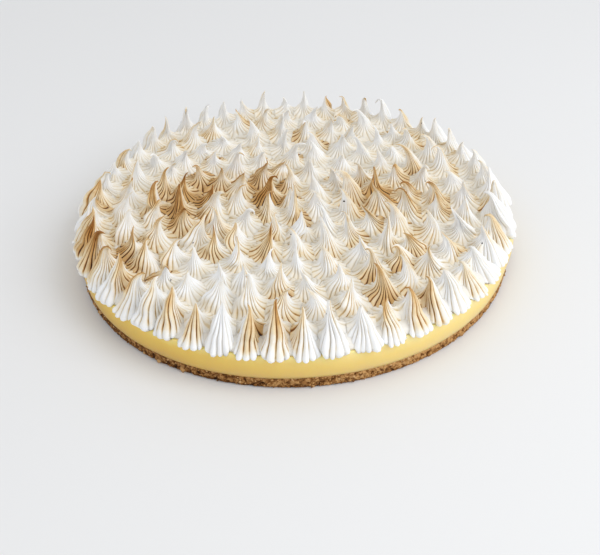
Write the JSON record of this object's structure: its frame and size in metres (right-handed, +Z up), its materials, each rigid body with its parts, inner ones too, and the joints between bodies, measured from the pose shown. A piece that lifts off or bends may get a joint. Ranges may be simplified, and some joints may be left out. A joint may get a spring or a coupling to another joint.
{
  "type": "lemon meringue pie",
  "caption": "Round lemon meringue pie: a thin pressed crumb crust, a smooth pale lemon filling and a top covered in piped, torched meringue peaks.",
  "frame": {"origin": "centre of the crust's flat underside, which the pie rests on", "axes": "+Z up through the middle of the pie; X and Y lie in the underside, with -Y towards the side first seen"},
  "size_m": [0.267, 0.267, 0.0488],
  "materials": {
    "crumb": "baked biscuit and nut crumb, coarse, rough and matte",
    "lemon": "set lemon filling, smooth with a faint satin sheen",
    "meringue": "piped meringue, matte white, torched tan to dark brown on some of its peaks"
  },
  "bodies": {
    "root": {"crumb_crust": "crumb", "lemon_filling": "lemon", "meringue_topping": "meringue"}
  },
  "joints": []
}
